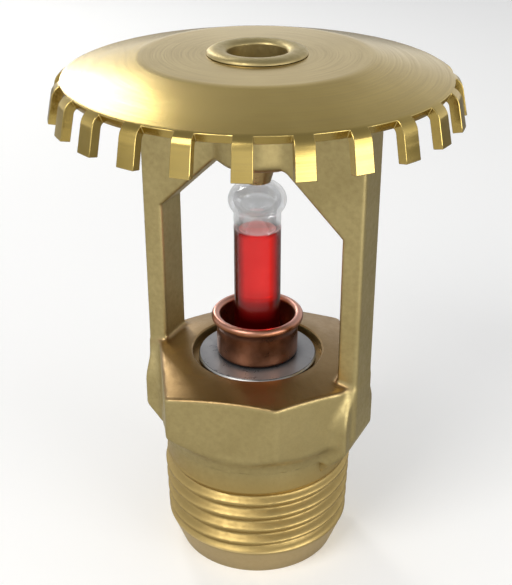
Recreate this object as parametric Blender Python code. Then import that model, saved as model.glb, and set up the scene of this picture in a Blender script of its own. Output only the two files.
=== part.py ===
"""Upright fire sprinkler head with a 1/2 inch pipe thread and a 5 mm glass bulb.

The object stands on its inlet end. The origin is the centre of the inlet end face, +Z runs up along the
waterway towards the deflector, and the two arms stand on the X axis. Ten pieces: the cast frame, the
deflector, the load screw, the bulb and its liquid, and the cap, insert, spring washer and two films that
close the waterway. Sizes are in millimetres and become metres when a mesh is made.
"""

import math

import bmesh
import bpy

MM = 0.001
SKIN_GAP = 0.05                 # clearance between two pieces that rest on each other

# Pipe thread: 1/2 inch NPT, 14 threads per inch, tapering 1 in 16 on the diameter
PIPE_PITCH = 25.4 / 14.0
PIPE_CREST_R = 10.67
PIPE_DEPTH = 0.8
PIPE_TAPER = 1.0 / 32.0
PIPE_START_Z = 4.9
PIPE_TURNS = 3.6
PIPE_PHASE_DEG = 280.0
LEAD_END_R = 9.1                # chamfered lead-in below the thread
LEAD_TOP_R = 10.35
LEAD_TOP_Z = 3.3
NECK_R = 10.35

# Wrench boss: an eight-sided prism on a round collar, with an ear under each arm that reaches further down
# Four faces as direction from +X in degrees and distance from the axis; the others lie half a turn on
BOSS_FACES = ((-77.0, 11.0), (-37.0, 11.3), (0.0, 11.7), (33.0, 10.75))
COLLAR_R = 10.68
COLLAR_LOW_Z = 14.4
COLLAR_HIGH_Z = 15.7
PRISM_R = 13.5                  # beyond the prism's corners
PRISM_LOW_Z = 18.1
EAR_X = 12.4
EAR_DEPTH = 8.0
EAR_FOOT_Z = 15.5
EAR_HIGH_Z = 19.6               # above this height the ear narrows to the arm
EAR_TOP_Z = 22.8
EAR_ROOT_X = 9.2
EAR_ROOT_Z = 12.25
BODY_TOP_Z = 24.1
RIM_R = 7.7                     # the top face falls from this circle to its outer edge
EDGE_Z = 23.15
TOP_EDGE = 0.2

# Waterway and seat
INLET_R = 7.6
ORIFICE_R = 5.55
SEAT_R = 7.2
SEAT_Z = 23.0

# Arms and top boss
ARM_OUTER_X = 12.7
ARM_INNER_X = 10.4
ARM_DEPTH = 4.6
ARM_FOOT_Z = 16.8
ARM_FOOT_X = 10.3
ARM_FOOT_LOW_Z = 14.3
WINDOW_SLOPE_Z = 40.4
WINDOW_TOP_Z = 46.4
WINDOW_TOP_X = 3.7
SHOULDER_Z = 50.2
SHOULDER_R = 4.4
BOSS_R = 4.3
BOSS_LOW_Z = 46.0

# Deflector
PLATE_TOP_Z = 57.1
PLATE_THICK = 1.0
PLATEAU_R = 11.5
CONE_DROP = 1.8
DISC_R = 18.95
BEND_R = 1.6
TOOTH_COUNT = 24
TOOTH_WIDTH = 1.9
TOOTH_TIP_Z = 51.5
TOOTH_FLARE_DEG = 12.0
TOOTH_PHASE_DEG = -67.6
STUB_R = 3.9
LIP_R = 5.0
LIP_HOLE_R = 3.0
LIP_HEIGHT = 0.5

# Load screw: 5 mm thread with a lead of 0.8 mm
SCREW_LEAD = 0.8
SCREW_CORE_R = 1.93
SCREW_CREST_R = 2.4
SCREW_RADIAL_GAP = 0.13
SCREW_AXIAL_GAP = 0.07
SCREW_TOP_Z = 54.0
SCREW_TIP_Z = 43.85
SCREW_TIP_R = 1.4
SCREW_THREAD_LOW_Z = 47.0
SLOT_WIDTH = 0.8
SLOT_DEPTH = 0.8
SCREW_THREAD_TURNS = 7.0
BORE_THREAD_LOW_Z = 45.4
BORE_THREAD_TURNS = 11.6
SCREW_PHASE_DEG = 8.0

# Bulb
BULB_R = 2.5
BULB_WALL = 0.55
BULGE_R = 3.08
BULGE_Z = 41.8
BULGE_HALF_HEIGHT = 2.2
BULB_NECK_Z = 39.2
BULB_FOOT_Z = 22.05
FILL_HOLE_R = 0.3
LIQUID_TOP_Z = 38.5

# Cap assembly
CAP_RIM_R = 5.05
CAP_WALL_R = 4.45
CAP_RIM_Z = 28.75
CAP_WALL = 0.4
CAP_NOSE_R = 3.2
CAP_NOSE_Z = 21.3
SPRING_OUTER_R = 6.5
SPRING_INNER_R = 3.5
SPRING_THICK = 0.45
SPRING_RISE = 0.12
FILM_THICK = 0.08
FILM_GAP = 0.03
FILM_INSET = 0.1
INSERT_R = 2.7
INSERT_HOLE_R = 0.8

BODY_SEGMENTS = 60
ROUND_SEGMENTS = 36
SCREW_SEGMENTS = 16
PIPE_SEGMENTS = 40


def clear_scene():
    """Remove everything that a new file brings along."""
    for thing in list(bpy.data.objects):
        bpy.data.objects.remove(thing, do_unlink=True)


def make_material(name, colour, roughness, metallic, transmission=0.0):
    """One Principled material."""
    material = bpy.data.materials.new(name)
    material.use_nodes = True
    shader = material.node_tree.nodes["Principled BSDF"]
    shader.inputs["Base Color"].default_value = (*colour, 1.0)
    shader.inputs["Roughness"].default_value = roughness
    shader.inputs["Metallic"].default_value = metallic
    shader.inputs["Transmission Weight"].default_value = transmission
    return material


def add_object(name, mesh, material, parent=None):
    """Put a mesh in the scene under a name, smooth where its faces meet gently."""
    mesh.materials.clear()
    mesh.materials.append(material)
    mesh.shade_smooth()
    mesh.set_sharp_from_angle(angle=math.radians(35.0))
    thing = bpy.data.objects.new(name, mesh)
    bpy.context.scene.collection.objects.link(thing)
    thing.parent = parent
    return thing


def add_axis(name, parent=None):
    """An empty on the common axis, for the pieces that move together."""
    axis = bpy.data.objects.new(name, None)
    axis.empty_display_size = 5 * MM
    bpy.context.scene.collection.objects.link(axis)
    axis.parent = parent
    return axis


def mesh_from_bmesh(name, shape):
    """Turn millimetres into metres and write the mesh."""
    bmesh.ops.scale(shape, vec=(MM, MM, MM), verts=shape.verts)
    bmesh.ops.recalc_face_normals(shape, faces=shape.faces)
    mesh = bpy.data.meshes.new(name)
    shape.to_mesh(mesh)
    shape.free()
    return mesh


def join_rings(shape, rings, closed):
    """Bridge consecutive rings of equal length with quads, and the last to the first if closed."""
    pairs = list(zip(rings, rings[1:]))
    if closed:
        pairs.append((rings[-1], rings[0]))
    for low, high in pairs:
        count = len(low)
        for i in range(count):
            j = (i + 1) % count
            shape.faces.new((low[i], low[j], high[j], high[i]))


def ring_of(shape, radius_at, z, segments):
    """A ring of vertices whose radius may depend on the angle."""
    ring = []
    for i in range(segments):
        angle = 2.0 * math.pi * i / segments
        radius = radius_at(angle)
        ring.append(shape.verts.new((radius * math.cos(angle), radius * math.sin(angle), z)))
    return ring


def revolve(name, outline, segments):
    """Solid of revolution from (radius, height) points; an outline that starts and ends at r = 0 is capped."""
    shape = bmesh.new()
    on_axis = outline[0][0] == 0.0
    profile = outline[1:-1] if on_axis else outline
    rings = [ring_of(shape, lambda angle, r=r: r, z, segments) for r, z in profile]
    join_rings(shape, rings, closed=not on_axis)
    if on_axis:
        for ring, (_, z) in ((rings[0], outline[0]), (rings[-1], outline[-1])):
            tip = shape.verts.new((0.0, 0.0, z))
            for i in range(segments):
                shape.faces.new((ring[i], ring[(i + 1) % segments], tip))
    return mesh_from_bmesh(name, shape)


def arc(centre_r, centre_z, radius, start_deg, end_deg, steps, stretch=1.0):
    """Points on an arc in the (radius, height) plane; stretch scales its height."""
    points = []
    for i in range(steps + 1):
        angle = math.radians(start_deg + (end_deg - start_deg) * i / steps)
        points.append((centre_r + radius * math.cos(angle), centre_z + radius * stretch * math.sin(angle)))
    return points


def boss_radius(angle):
    """Distance from the axis to the nearest of the eight faces of the wrench boss in this direction."""
    reach = PRISM_R
    for turn_deg, distance in BOSS_FACES:
        facing = abs(math.cos(angle - math.radians(turn_deg)))
        reach = min(reach, distance / max(facing, 0.1))
    return reach


def boss_ring(shape, limit_r, inset, z):
    """A ring of the wrench boss, cut back to a round limit and moved inwards by inset."""
    return ring_of(shape, lambda angle: min(boss_radius(angle) - inset, limit_r), z, BODY_SEGMENTS)


def round_ring(shape, radius, z):
    """A round ring of the body."""
    return ring_of(shape, lambda angle: radius, z, BODY_SEGMENTS)


def body_mesh():
    """Lead-in, thread core, neck, wrench boss, top face, seat and waterway as one closed loft."""
    shape = bmesh.new()
    core_low = PIPE_CREST_R - PIPE_DEPTH - PIPE_TAPER * 6.0
    core_high = PIPE_CREST_R - PIPE_DEPTH
    outside = [(LEAD_END_R - 0.35, 0.0), (LEAD_END_R, 0.35), (LEAD_TOP_R, LEAD_TOP_Z),
               (core_low, LEAD_TOP_Z + 0.75), (core_high, 11.3), (NECK_R, 11.9), (NECK_R, COLLAR_LOW_Z - 0.3),
               (COLLAR_R, COLLAR_LOW_Z)]
    boss = [(COLLAR_R, 0.0, COLLAR_HIGH_Z), (PRISM_R, 0.0, PRISM_LOW_Z),
            (PRISM_R, 0.0, EDGE_Z - TOP_EDGE), (PRISM_R, TOP_EDGE, EDGE_Z)]
    inside = [(RIM_R, BODY_TOP_Z), (SEAT_R, BODY_TOP_Z), (SEAT_R, SEAT_Z), (ORIFICE_R + 0.2, SEAT_Z),
              (ORIFICE_R, SEAT_Z - 0.2), (ORIFICE_R, 9.0), (INLET_R, 4.0), (INLET_R, 0.4), (INLET_R + 0.4, 0.0)]
    rings = [round_ring(shape, r, z) for r, z in outside]
    rings += [boss_ring(shape, r, inset, z) for r, inset, z in boss]
    rings += [round_ring(shape, r, z) for r, z in inside]
    join_rings(shape, rings, closed=True)
    return mesh_from_bmesh("frame", shape)


def thread_ridge(name, root_r, crest_r, root_half, crest_half, low_z, lead, turns, segments, taper, phase_deg):
    """A helical ridge of trapezium section whose flanks run on into the core and whose ends sink into it."""
    shape = bmesh.new()
    sink = 0.06 * lead
    steps = int(turns * segments)
    rings = []
    for i in range(steps + 1):
        turn = i / segments
        angle = 2.0 * math.pi * turn + math.radians(phase_deg)
        z = low_z + lead * turn
        fade = min(1.0, 2.5 * turn + 0.15, 2.5 * (turns - turn) + 0.15)
        grow = taper * lead * turn
        crest = root_r + (crest_r - root_r) * fade + grow
        base = root_r - sink + grow
        base_half = root_half + sink * (root_half - crest_half) / (crest_r - root_r)
        section = [(base, z - base_half), (crest, z - crest_half), (crest, z + crest_half), (base, z + base_half)]
        rings.append([shape.verts.new((r * math.cos(angle), r * math.sin(angle), h)) for r, h in section])
    join_rings(shape, rings, closed=False)
    shape.faces.new(reversed(rings[0]))
    shape.faces.new(rings[-1])
    return mesh_from_bmesh(name, shape)


def yoke_outline():
    """Half outline of the arms and web, from the foot of the arm over the shoulder, as (x, z)."""
    shoulder_x = ARM_OUTER_X - SHOULDER_R
    outer = [(ARM_FOOT_X, ARM_FOOT_LOW_Z), (ARM_OUTER_X, ARM_FOOT_Z)]
    outer += arc(shoulder_x, SHOULDER_Z, SHOULDER_R, 0.0, 75.0, 6)
    outer.append((BOSS_R, PLATE_TOP_Z - PLATE_THICK - 0.5))
    inner = [(WINDOW_TOP_X, WINDOW_TOP_Z), (ARM_INNER_X - 0.6, WINDOW_SLOPE_Z + 0.55),
             (ARM_INNER_X - 0.15, WINDOW_SLOPE_Z - 0.1), (ARM_INNER_X, WINDOW_SLOPE_Z - 0.9),
             (ARM_INNER_X, BODY_TOP_Z + 0.9), (ARM_INNER_X - 0.3, BODY_TOP_Z + 0.3),
             (ARM_INNER_X - 1.2, BODY_TOP_Z - 0.6), (ARM_INNER_X - 1.2, ARM_FOOT_LOW_Z + 0.6)]
    return outer, inner


def yoke_mesh():
    """Both arms, their webs and the feet on the boss, as one flat plate with its window."""
    outer, inner = yoke_outline()
    left_outer = [(-x, z) for x, z in reversed(outer)]
    left_inner = [(-x, z) for x, z in reversed(inner)]
    outline = outer + left_outer + left_inner + inner
    shape = bmesh.new()
    half = ARM_DEPTH / 2.0
    front = [shape.verts.new((x, -half, z)) for x, z in outline]
    back = [shape.verts.new((x, half, z)) for x, z in outline]
    join_rings(shape, [front, back], closed=False)
    shape.faces.new(front)
    shape.faces.new(reversed(back))
    return mesh_from_bmesh("yoke_guide", shape)


def ears_mesh():
    """The ear under each arm: a block in the wall of the boss, whose foot slopes back to the neck."""
    half = EAR_DEPTH / 2.0
    inner_x = EAR_ROOT_X - 0.8
    levels = [(EAR_ROOT_X, half, EAR_ROOT_Z), (EAR_X, half, EAR_FOOT_Z), (EAR_X, half, EAR_HIGH_Z),
              (EAR_X, ARM_DEPTH / 2.0 + 0.05, EAR_TOP_Z)]
    shape = bmesh.new()
    for side in (1.0, -1.0):
        rings = []
        for outer_x, depth, z in levels:
            corners = [(inner_x, -depth), (outer_x, -depth), (outer_x, depth), (inner_x, depth)]
            rings.append([shape.verts.new((side * x, side * y, z)) for x, y in corners])
        join_rings(shape, rings, closed=False)
        shape.faces.new(reversed(rings[0]))
        shape.faces.new(rings[-1])
    return mesh_from_bmesh("ears_guide", shape)


def top_boss_mesh():
    """Boss above the window, stub through the deflector and the lip swaged over it."""
    under = PLATE_TOP_Z - PLATE_THICK - SKIN_GAP
    over = PLATE_TOP_Z + SKIN_GAP
    lip_mid = (LIP_R + LIP_HOLE_R) / 2.0
    outline = [(0.0, BOSS_LOW_Z), (BOSS_R - 0.5, BOSS_LOW_Z), (BOSS_R, BOSS_LOW_Z + 0.5), (BOSS_R, under),
               (STUB_R, under), (STUB_R, over), (LIP_R - 0.1, over), (LIP_R, over + 0.15),
               (LIP_R - 0.25, over + LIP_HEIGHT * 0.75), (lip_mid, over + LIP_HEIGHT),
               (LIP_HOLE_R, over + LIP_HEIGHT * 0.7), (0.0, over + LIP_HEIGHT * 0.7)]
    return revolve("top_boss_guide", outline, ROUND_SEGMENTS)


def screw_bore_mesh():
    """Core hole of the screw thread, opening into a plain counterbore at the top."""
    bore_r = SCREW_CORE_R + SCREW_RADIAL_GAP
    mouth_r = SCREW_CREST_R + SCREW_RADIAL_GAP + 0.1
    outline = [(0.0, BOSS_LOW_Z - 1.0), (mouth_r, BOSS_LOW_Z - 1.0), (mouth_r, BOSS_LOW_Z),
               (bore_r, BOSS_LOW_Z + 0.6), (bore_r, SCREW_TOP_Z - 0.1), (LIP_HOLE_R, SCREW_TOP_Z + 0.9),
               (LIP_HOLE_R, PLATE_TOP_Z + 2.0), (0.0, PLATE_TOP_Z + 2.0)]
    return revolve("screw_bore_guide", outline, SCREW_SEGMENTS)


def as_guide(thing):
    """Mark a helper that only shapes another piece."""
    thing.hide_render = True
    thing.display_type = "WIRE"
    return thing


def combine(target, tool, operation):
    """Add an exact boolean of target with the helper."""
    as_guide(tool)
    step = target.modifiers.new(tool.name, "BOOLEAN")
    step.operation = operation
    step.object = tool
    step.solver = "EXACT"


def soften(thing, width):
    """Round the edges of a cast piece."""
    bevel = thing.modifiers.new("cast_edges", "BEVEL")
    bevel.width = width * MM
    bevel.segments = 1
    bevel.limit_method = "ANGLE"
    bevel.angle_limit = math.radians(40.0)


def make_frame(brass):
    """The one-piece brass casting: threaded inlet, wrench boss, arms and tapped top boss."""
    frame = add_object("frame", body_mesh(), brass)
    yoke = add_object("yoke_guide", yoke_mesh(), brass)
    soften(yoke, 0.45)
    ears = add_object("ears_guide", ears_mesh(), brass)
    boss = add_object("top_boss_guide", top_boss_mesh(), brass)
    pipe_mesh = thread_ridge("pipe_thread_guide", PIPE_CREST_R - PIPE_DEPTH - PIPE_TAPER * 6.0,
                             PIPE_CREST_R - PIPE_TAPER * 6.0, PIPE_PITCH * 0.40, PIPE_PITCH * 0.07,
                             PIPE_START_Z, PIPE_PITCH, PIPE_TURNS, PIPE_SEGMENTS, PIPE_TAPER,
                             PIPE_PHASE_DEG)
    pipe = add_object("pipe_thread_guide", pipe_mesh, brass)
    bore = add_object("screw_bore_guide", screw_bore_mesh(), brass)
    groove_mesh = thread_ridge("screw_groove_guide", SCREW_CORE_R + SCREW_RADIAL_GAP,
                               SCREW_CREST_R + SCREW_RADIAL_GAP,
                               SCREW_LEAD * 0.30 + SCREW_AXIAL_GAP, SCREW_LEAD * 0.06 + SCREW_AXIAL_GAP,
                               BORE_THREAD_LOW_Z, SCREW_LEAD, BORE_THREAD_TURNS,
                               SCREW_SEGMENTS, 0.0, SCREW_PHASE_DEG)
    groove = add_object("screw_groove_guide", groove_mesh, brass)
    combine(frame, ears, "UNION")
    combine(frame, yoke, "UNION")
    combine(frame, boss, "UNION")
    combine(frame, pipe, "UNION")
    combine(frame, bore, "DIFFERENCE")
    combine(frame, groove, "DIFFERENCE")
    return frame


def deflector_profile():
    """Upper surface of the deflector as (radius, height): the disc up to the gaps' floor, then the tooth."""
    edge_z = PLATE_TOP_Z - CONE_DROP
    disc = [(STUB_R + SKIN_GAP, PLATE_TOP_Z), (PLATEAU_R - 0.6, PLATE_TOP_Z), (PLATEAU_R + 0.6, PLATE_TOP_Z - 0.14),
            (DISC_R, edge_z)]
    slope_deg = math.degrees(math.atan2(CONE_DROP, DISC_R - PLATEAU_R))
    start_deg = 90.0 - slope_deg
    centre_r = DISC_R - BEND_R * math.cos(math.radians(start_deg))
    centre_z = edge_z - BEND_R * math.sin(math.radians(start_deg))
    bend = arc(centre_r, centre_z, BEND_R, start_deg, TOOTH_FLARE_DEG, 4)[1:]
    last_r, last_z = bend[-1]
    drop = last_z - TOOTH_TIP_Z
    tip = (last_r + drop * math.tan(math.radians(TOOTH_FLARE_DEG)), TOOTH_TIP_Z)
    return disc + bend[:1], bend[1:] + [tip]


def lower_side(profile):
    """The profile moved inwards by the plate's thickness along its own normal."""
    moved = []
    for i, (r, z) in enumerate(profile):
        before = profile[max(i - 1, 0)]
        after = profile[min(i + 1, len(profile) - 1)]
        run = after[0] - before[0]
        rise = after[1] - before[1]
        length = math.hypot(run, rise)
        moved.append((r + rise / length * PLATE_THICK, z - run / length * PLATE_THICK))
    return moved


def deflector_angles():
    """Angles of the radial cuts: each tooth is one sector and each gap three."""
    pitch = 2.0 * math.pi / TOOTH_COUNT
    half = math.asin(TOOTH_WIDTH / 2.0 / (DISC_R + BEND_R))
    angles = []
    for tooth in range(TOOTH_COUNT):
        centre = tooth * pitch + math.radians(TOOTH_PHASE_DEG)
        gap = pitch - 2.0 * half
        angles.append(centre - half)
        angles += [centre + half + gap * k / 3.0 for k in range(3)]
    return angles


def deflector_mesh():
    """Pressed disc with bent teeth, as an upper and a lower sheet joined by walls along the cut edge."""
    disc, tooth = deflector_profile()
    top = disc + tooth
    bottom = lower_side(top)
    angles = deflector_angles()
    shape = bmesh.new()
    disc_rings = len(disc)
    verts = {}

    def vert(side, ring, sector):
        key = (side, ring, sector % len(angles))
        if key not in verts:
            r, z = (top, bottom)[side][ring]
            angle = angles[key[2]]
            verts[key] = shape.verts.new((r * math.cos(angle), r * math.sin(angle), z))
        return verts[key]

    def has_sheet(ring, sector):
        return ring < disc_rings - 1 or (ring < len(top) - 1 and sector % 4 == 0)

    for sector in range(len(angles)):
        for ring in range(len(top) - 1):
            if not has_sheet(ring, sector):
                continue
            for side in (0, 1):
                shape.faces.new((vert(side, ring, sector), vert(side, ring + 1, sector),
                                 vert(side, ring + 1, sector + 1), vert(side, ring, sector + 1)))
            if ring == 0:
                wall_between(shape, vert, (ring, sector), (ring, sector + 1))
            if not has_sheet(ring + 1, sector):
                wall_between(shape, vert, (ring + 1, sector), (ring + 1, sector + 1))
            for other, edge in ((sector - 1, sector), (sector + 1, sector + 1)):
                if not has_sheet(ring, other):
                    wall_between(shape, vert, (ring, edge), (ring + 1, edge))
    return mesh_from_bmesh("deflector", shape)


def wall_between(shape, vert, start, end):
    """A wall quad from the upper sheet to the lower one along one cut edge."""
    shape.faces.new((vert(0, *start), vert(0, *end), vert(1, *end), vert(1, *start)))


def make_load_screw(brass, axis):
    """Compression screw: conical tip with a dimple for the bulb's crown, thread, and a slotted head end."""
    thread_top = SCREW_THREAD_LOW_Z + SCREW_LEAD * SCREW_THREAD_TURNS
    outline = [(0.0, SCREW_TIP_Z + 0.7), (0.6, SCREW_TIP_Z + 0.65), (1.12, SCREW_TIP_Z + 0.06),
               (SCREW_TIP_R, SCREW_TIP_Z), (SCREW_CORE_R, SCREW_TIP_Z + 1.9),
               (SCREW_CORE_R, thread_top), (SCREW_CORE_R, SCREW_TOP_Z - 0.3),
               (SCREW_CORE_R - 0.3, SCREW_TOP_Z), (0.0, SCREW_TOP_Z)]
    screw = add_object("load_screw", revolve("load_screw", outline, SCREW_SEGMENTS), brass, axis)
    ridge_mesh = thread_ridge("screw_ridge_guide", SCREW_CORE_R, SCREW_CREST_R, SCREW_LEAD * 0.30,
                              SCREW_LEAD * 0.06, SCREW_THREAD_LOW_Z, SCREW_LEAD, SCREW_THREAD_TURNS,
                              SCREW_SEGMENTS, 0.0, SCREW_PHASE_DEG)
    ridge = add_object("screw_ridge_guide", ridge_mesh, brass, axis)
    slot = bmesh.new()
    bmesh.ops.create_cube(slot, size=1.0)
    bmesh.ops.scale(slot, vec=(6.0, SLOT_WIDTH, 2.0 * SLOT_DEPTH), verts=slot.verts)
    bmesh.ops.translate(slot, vec=(0.0, 0.0, SCREW_TOP_Z), verts=slot.verts)
    cutter = add_object("screw_slot_guide", mesh_from_bmesh("screw_slot_guide", slot), brass, axis)
    combine(screw, ridge, "UNION")
    combine(screw, cutter, "DIFFERENCE")
    return screw


def bulge_point(angle_deg, inset):
    """A point on the swollen end of the bulb, measured from its widest circle."""
    angle = math.radians(angle_deg)
    return ((BULGE_R - inset) * math.cos(angle), BULGE_Z + (BULGE_HALF_HEIGHT - inset) * math.sin(angle))


def bulb_side(inset):
    """Stem, neck and bulge of the bulb from the foot upwards, moved inwards by inset."""
    stem_r = BULB_R - inset
    foot = arc(0.0, BULB_FOOT_Z + BULB_R, stem_r, -68.0, 0.0, 4)
    stem = [(stem_r, BULB_NECK_Z - 0.3), (stem_r - 0.03, BULB_NECK_Z), (stem_r + 0.06, BULB_NECK_Z + 0.35)]
    bulge = [bulge_point(angle, inset) for angle in (-38.0, -18.0, 0.0, 20.0, 40.0, 58.0, 74.0)]
    return foot + stem + bulge


def make_glass_bulb(glass, axis):
    """Glass wall with its sealed nib at the top and the fine filling hole in its foot."""
    outer = bulb_side(0.0)
    inner = bulb_side(BULB_WALL)
    crown_z = BULGE_Z + BULGE_HALF_HEIGHT
    nib = [(0.42, crown_z + 0.02), (0.3, crown_z + 0.22), (0.12, crown_z + 0.28)]
    ceiling = [(0.12, crown_z - BULB_WALL)]
    foot_hole = [(FILL_HOLE_R, BULB_FOOT_Z + BULB_WALL + 0.05), (FILL_HOLE_R, BULB_FOOT_Z + 0.04)]
    outline = outer + nib + ceiling + list(reversed(inner)) + foot_hole
    return add_object("glass_bulb", bulb_solid("glass_bulb", outline), glass, axis)


def bulb_solid(name, outline):
    """Revolve the bulb's wall; the nib and the ceiling close on the axis."""
    shape = bmesh.new()
    rings = [ring_of(shape, lambda angle, r=r: r, z, ROUND_SEGMENTS - 8) for r, z in outline]
    split = next(i for i, (r, z) in enumerate(outline) if r == 0.12)
    upper, lower = rings[: split + 1], rings[split + 1:]
    join_rings(shape, upper, closed=False)
    join_rings(shape, lower, closed=False)
    join_rings(shape, [lower[-1], upper[0]], closed=False)
    shape.faces.new(upper[-1])
    shape.faces.new(lower[0])
    return mesh_from_bmesh(name, shape)


def make_liquid(liquid, axis):
    """The liquid column, with the hollow surface that it forms against the glass."""
    r = BULB_R - BULB_WALL - SKIN_GAP
    low = BULB_FOOT_Z + BULB_WALL + 0.35
    side = [(r * math.cos(a), low + r - r * math.sin(a)) for a in (math.radians(d) for d in (75, 50, 25, 0))]
    outline = [(0.0, low)] + side + [(r, LIQUID_TOP_Z), (r * 0.85, LIQUID_TOP_Z - 0.22),
                                     (r * 0.5, LIQUID_TOP_Z - 0.4), (0.0, LIQUID_TOP_Z - 0.45)]
    return add_object("bulb_liquid", revolve("bulb_liquid", outline, ROUND_SEGMENTS - 8), liquid, axis)


def spring_base_z():
    """Height of the spring washer's lower face at its outer edge."""
    return SEAT_Z + SKIN_GAP + FILM_THICK + FILM_GAP


def cone_ring(name, inner_r, outer_r, low_z, thick):
    """A shallow conical washer whose inner edge stands higher than its outer edge."""
    slope = SPRING_RISE / (SPRING_OUTER_R - SPRING_INNER_R)
    inner_z = low_z + (SPRING_OUTER_R - inner_r) * slope
    outer_z = low_z + (SPRING_OUTER_R - outer_r) * slope
    outline = [(outer_r, outer_z), (outer_r, outer_z + thick), (inner_r, inner_z + thick), (inner_r, inner_z)]
    return revolve(name, outline, ROUND_SEGMENTS)


def make_spring(nickel, axis):
    """The spring washer that keeps the seal loaded."""
    mesh = cone_ring("belleville_spring", SPRING_INNER_R, SPRING_OUTER_R, spring_base_z(), SPRING_THICK)
    return add_object("belleville_spring", mesh, nickel, axis)


def make_films(film, axis):
    """The two sealing films, one on each face of the spring washer."""
    low_z = spring_base_z() - FILM_GAP - FILM_THICK
    high_z = spring_base_z() + SPRING_THICK + FILM_GAP
    for name, z in (("seal_film_lower", low_z), ("seal_film_upper", high_z)):
        mesh = cone_ring(name, SPRING_INNER_R + FILM_INSET, SPRING_OUTER_R - FILM_INSET, z, FILM_THICK)
        add_object(name, mesh, film, axis)


def make_cap(copper, axis):
    """Drawn copper cup: rolled rim, straight wall, shoulder on the spring and a nose through its hole."""
    shoulder_z = spring_base_z() + SPRING_THICK + FILM_GAP + FILM_THICK + SPRING_RISE + SKIN_GAP
    bead = CAP_RIM_R - CAP_WALL_R + CAP_WALL
    bead_r = bead / 2.0
    bead_mid = CAP_RIM_R - bead_r
    corner = 0.5
    outside = [(0.0, CAP_NOSE_Z), (CAP_NOSE_R - 0.4, CAP_NOSE_Z), (CAP_NOSE_R, CAP_NOSE_Z + 0.4),
               (CAP_NOSE_R, shoulder_z), (CAP_WALL_R - corner, shoulder_z)]
    outside += arc(CAP_WALL_R - corner, shoulder_z + corner, corner, -60.0, 0.0, 2)
    rim = arc(bead_mid, CAP_RIM_Z - bead_r, bead_r, -60.0, 180.0, 6)
    inside_r = CAP_WALL_R - CAP_WALL
    nose_in = CAP_NOSE_R - CAP_WALL
    inside = [(inside_r, shoulder_z + CAP_WALL + 0.4), (inside_r - 0.4, shoulder_z + CAP_WALL),
              (nose_in, shoulder_z + CAP_WALL), (nose_in, CAP_NOSE_Z + CAP_WALL), (0.0, CAP_NOSE_Z + CAP_WALL)]
    outline = outside + rim + inside
    return add_object("pip_cap", revolve("pip_cap", outline, ROUND_SEGMENTS), copper, axis)


def make_insert(steel, axis):
    """Seat ring at the bottom of the cap, coned for the bulb's foot."""
    low = CAP_NOSE_Z + CAP_WALL + SKIN_GAP
    outline = [(INSERT_R, low), (INSERT_R, low + 1.05), (1.9, low + 1.03), (INSERT_HOLE_R, low + 0.28),
               (INSERT_HOLE_R, low)]
    return add_object("cap_insert", revolve("cap_insert", outline, ROUND_SEGMENTS - 12), steel, axis)


def make_deflector(brass):
    """The deflector plate, held between the top boss and its lip."""
    return add_object("deflector", deflector_mesh(), brass)


def build():
    """Make every piece and hang the moving ones on their axes."""
    clear_scene()
    cast_brass = make_material("cast_brass", (0.38, 0.29, 0.13), 0.42, 1.0)
    sheet_brass = make_material("sheet_brass", (0.45, 0.35, 0.16), 0.3, 1.0)
    screw_brass = make_material("screw_brass", (0.42, 0.3, 0.14), 0.35, 1.0)
    glass = make_material("glass", (0.95, 0.96, 0.98), 0.02, 0.0, 1.0)
    liquid = make_material("red_liquid", (0.85, 0.03, 0.03), 0.1, 0.0, 0.6)
    copper = make_material("copper", (0.45, 0.18, 0.1), 0.3, 1.0)
    steel = make_material("stainless_steel", (0.6, 0.6, 0.6), 0.3, 1.0)
    nickel = make_material("nickel_alloy", (0.5, 0.5, 0.48), 0.35, 1.0)
    film = make_material("ptfe_film", (0.5, 0.48, 0.46), 0.5, 0.0)
    make_frame(cast_brass)
    make_deflector(sheet_brass)
    cap_axis = add_axis("cap_axis")
    bulb_axis = add_axis("bulb_axis")
    screw_axis = add_axis("screw_axis", bulb_axis)
    make_load_screw(screw_brass, screw_axis)
    make_glass_bulb(glass, bulb_axis)
    make_liquid(liquid, bulb_axis)
    make_cap(copper, cap_axis)
    make_insert(steel, cap_axis)
    make_spring(nickel, cap_axis)
    make_films(film, cap_axis)


build()
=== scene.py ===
"""Looks of the upright sprinkler head: fine meshes, materials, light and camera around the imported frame.

Every piece of the frame gets a finer mesh at the same place. Sizes are in millimetres and become metres when
a mesh is made. +Z runs up the waterway, the arms stand on the X axis, and angles are counted from +X.
"""

import math

import bmesh
import bpy
import numpy as np
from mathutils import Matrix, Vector


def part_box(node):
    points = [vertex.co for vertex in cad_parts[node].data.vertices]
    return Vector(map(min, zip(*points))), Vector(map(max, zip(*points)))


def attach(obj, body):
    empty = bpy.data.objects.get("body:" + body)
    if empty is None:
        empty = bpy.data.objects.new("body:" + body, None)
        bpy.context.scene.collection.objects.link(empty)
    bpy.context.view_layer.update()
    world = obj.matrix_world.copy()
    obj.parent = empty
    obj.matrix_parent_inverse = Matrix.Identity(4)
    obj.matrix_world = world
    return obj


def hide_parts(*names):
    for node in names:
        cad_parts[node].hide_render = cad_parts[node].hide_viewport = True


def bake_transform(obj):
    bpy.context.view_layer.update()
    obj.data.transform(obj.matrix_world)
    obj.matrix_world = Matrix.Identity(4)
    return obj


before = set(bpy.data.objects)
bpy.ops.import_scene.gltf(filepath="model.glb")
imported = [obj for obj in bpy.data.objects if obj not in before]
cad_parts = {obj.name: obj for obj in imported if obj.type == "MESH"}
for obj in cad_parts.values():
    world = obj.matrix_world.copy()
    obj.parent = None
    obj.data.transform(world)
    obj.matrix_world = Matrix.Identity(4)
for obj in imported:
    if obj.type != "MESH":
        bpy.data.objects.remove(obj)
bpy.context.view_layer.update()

MM = 0.001


def cad_box(node):
    """Lowest and highest corner of a node of the frame, in millimetres."""
    low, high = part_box(node)
    return low / MM, high / MM


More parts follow.
